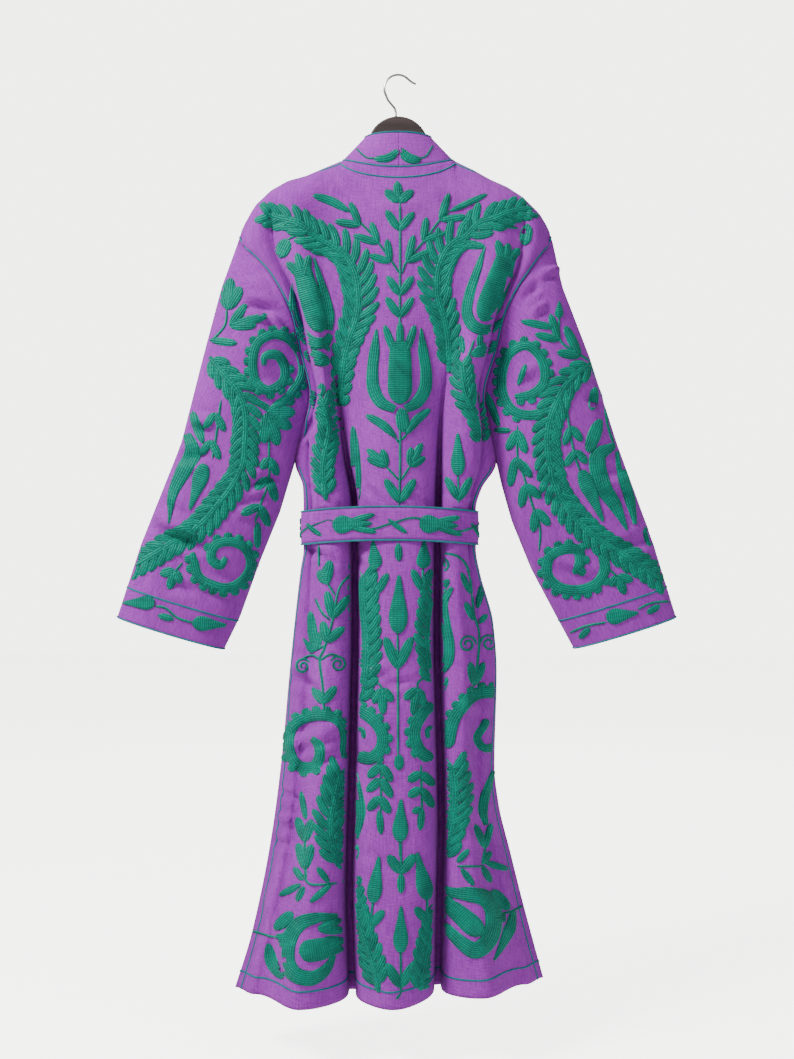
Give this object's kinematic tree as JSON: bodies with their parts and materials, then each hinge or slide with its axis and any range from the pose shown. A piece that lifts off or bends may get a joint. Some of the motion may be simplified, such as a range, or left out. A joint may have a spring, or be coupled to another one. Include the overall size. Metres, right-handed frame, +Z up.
{
  "type": "embroidered robe on a hanger",
  "caption": "Long-sleeved wrap robe of orchid cotton with green suzani-style embroidery, belted at the waist and hung from a shaped hanger.",
  "frame": {"origin": "inside top of the hanger's hook, where it hangs on a rail", "axes": "+Z up; -Y the way the back of the robe faces, towards the viewer of the picture; +X the wearer's right"},
  "size_m": [0.814, 0.1562, 1.3341],
  "materials": {
    "orchid_cotton": "matte slubby cotton, embroidered in green",
    "black_board": "black satin lacquer",
    "bright_wire": "bright plated wire"
  },
  "bodies": {
    "root": {"back": "orchid_cotton", "front_right": "orchid_cotton", "front_left": "orchid_cotton", "sleeve_right": "orchid_cotton", "sleeve_left": "orchid_cotton", "neckband_right": "orchid_cotton", "neckband_left": "orchid_cotton", "belt": "orchid_cotton", "belt_knot": "orchid_cotton", "belt_end_right": "orchid_cotton", "belt_end_left": "orchid_cotton", "hanger": "black_board", "hook": "bright_wire"}
  },
  "joints": []
}
